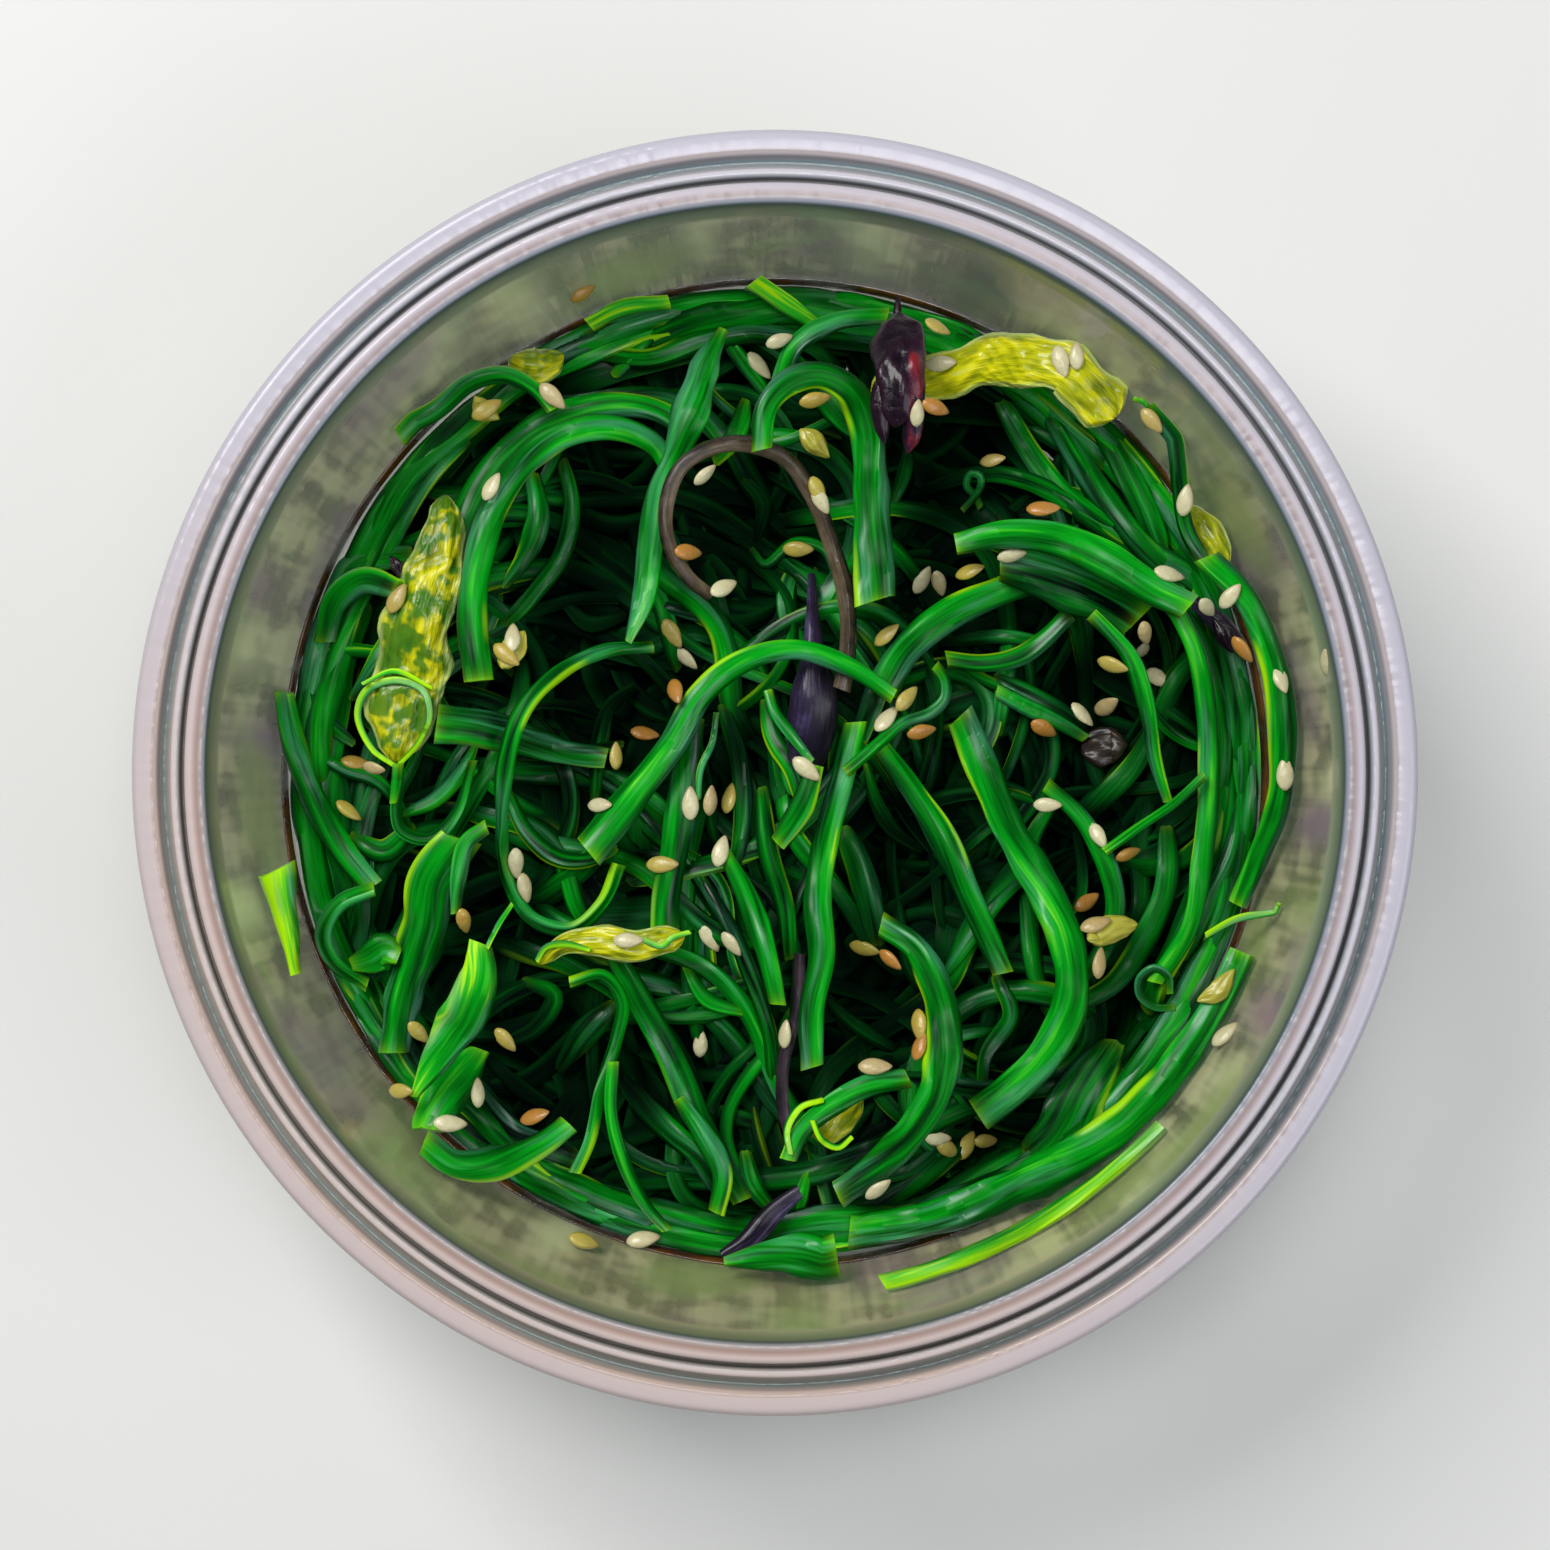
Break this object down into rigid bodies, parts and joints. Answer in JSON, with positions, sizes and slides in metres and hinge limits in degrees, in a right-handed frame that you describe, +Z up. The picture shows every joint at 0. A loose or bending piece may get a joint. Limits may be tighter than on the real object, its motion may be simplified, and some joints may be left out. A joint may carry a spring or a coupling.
{
  "type": "wakame salad in a clear tub",
  "caption": "Round clear plastic deli tub, open, filled with wet green wakame strips, wood ear, yellow agar jelly, a dried chilli and sesame seeds.",
  "frame": {"origin": "the middle of the tub's underside, on the surface that it stands on", "axes": "+Z up, +Y towards the top of the picture, which looks straight down, and +X to its right"},
  "size_m": [0.117, 0.117, 0.045],
  "materials": {
    "clear_plastic": "clear, slightly hazy, glossy rim",
    "wakame": "wet, glossy, dark to bright green with lime edges",
    "wood_ear": "wet, satin, brown-grey to purple",
    "agar_jelly": "wet, translucent, crinkled",
    "dried_chilli": "wrinkled, glossy, dark maroon",
    "sesame_seed": "cream to tan, satin",
    "dressing": "wet dark film"
  },
  "bodies": {
    "root": {"tub": "clear_plastic", "wakame_bed": "wakame", "jelly_bar": "agar_jelly", "jelly_wall": "agar_jelly", "jelly_top": "agar_jelly", "wood_ear_deep": "wood_ear", "wood_ear_low": "wood_ear", "wood_ear_rim": "wood_ear", "thread_loop": "wakame", "left_long_band": "wakame", "outer_arch": "wakame", "jelly_roll": "agar_jelly", "hook_block": "wakame", "vertical_mid": "wakame", "big_c": "wakame", "curl_left_top": "wakame", "inner_arch": "wakame", "top_left_lime": "wakame", "top_lime_end": "wakame", "top_arc": "wakame", "tall_left": "wakame", "wood_ear_curl": "wood_ear", "hairpin": "wakame", "chilli": "dried_chilli", "right_leaf": "wakame", "right_arch": "wakame", "paddle_under": "wakame", "wall_teal": "wakame", "right_outer": "wakame", "right_inner_long": "wakame", "paddle": "wakame", "right_edge_blue": "wakame", "right_inner_arc": "wakame", "thin_thread": "wakame", "long_right_inner": "wakame", "long_right_outer": "wakame", "wood_ear_thin": "wood_ear", "trunk": "wakame", "centre_leaf": "wakame", "centre_long_green": "wakame", "jelly_knot": "agar_jelly", "green_grey_arc": "wakame", "low_right_c": "wakame", "arch_right": "wakame", "diagonal_long": "wakame", "jelly_sprig": "agar_jelly", "diagonal_side": "wakame", "left_column": "wakame", "left_column_top": "wakame", "ribbon_loop": "wakame", "leaf_low": "wakame", "lime_spear": "wakame", "lower_hook": "wakame", "thin_arc_low": "wakame", "thin_vertical_low": "wakame", "wall_lime": "wakame", "sweep_bottom": "wakame", "bottom_lime": "wakame", "bottom_block": "wakame", "swan_arch": "wakame"}
  },
  "joints": []
}
